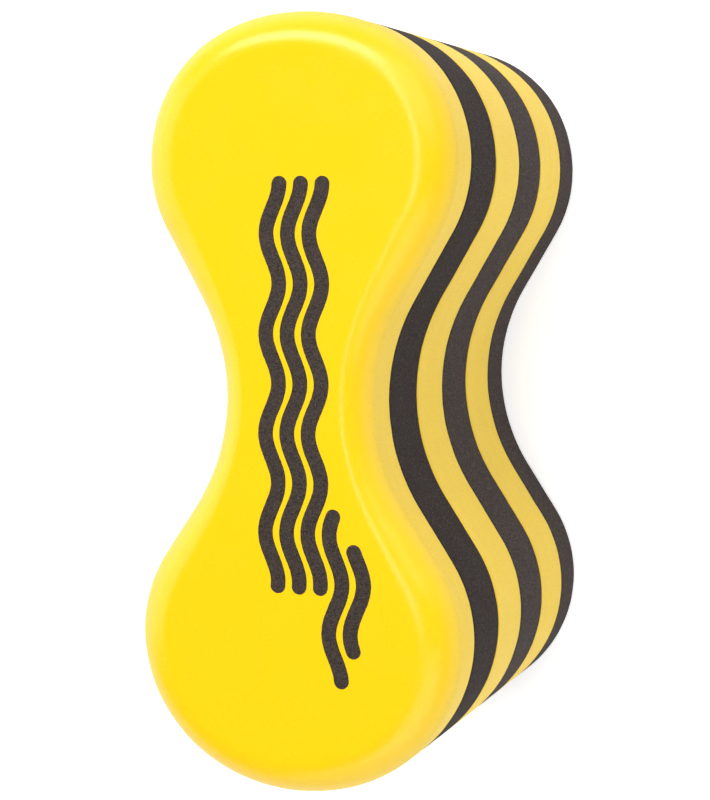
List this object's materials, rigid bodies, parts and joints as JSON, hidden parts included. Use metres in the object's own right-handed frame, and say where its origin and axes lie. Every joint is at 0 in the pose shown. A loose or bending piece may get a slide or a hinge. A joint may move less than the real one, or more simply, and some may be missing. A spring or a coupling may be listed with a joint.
{
  "type": "pull buoy",
  "caption": "Figure-of-eight foam pull buoy of glued yellow and black sheets, with a rounded front face and a printed wave pattern.",
  "frame": {"origin": "on the rear face, at the centre of the outline's box; the buoy lies on its rear face", "axes": "+Z through the stack of sheets, towards the rounded front face; +Y along the buoy, towards the smaller lobe; +X across it"},
  "size_m": [0.1, 0.23, 0.1522],
  "materials": {
    "yellow_foam": "matt closed-cell EVA foam, yellow",
    "black_foam": "matt closed-cell EVA foam, charcoal black",
    "glue": "dark brown contact-adhesive film",
    "ink": "screen-printed charcoal ink, satin"
  },
  "bodies": {
    "root": {"black_rear_cap": "black_foam", "glue_film_1": "glue", "yellow_sheet_rear": "yellow_foam", "glue_film_2": "glue", "black_sheet_middle": "black_foam", "glue_film_3": "glue", "yellow_sheet_front": "yellow_foam", "glue_film_4": "glue", "black_sheet_front": "black_foam", "glue_film_5": "glue", "yellow_front_cap": "yellow_foam", "printed_wave_1": "ink", "printed_wave_2": "ink", "printed_wave_3": "ink", "printed_wave_4": "ink", "printed_wave_5": "ink"}
  },
  "joints": []
}
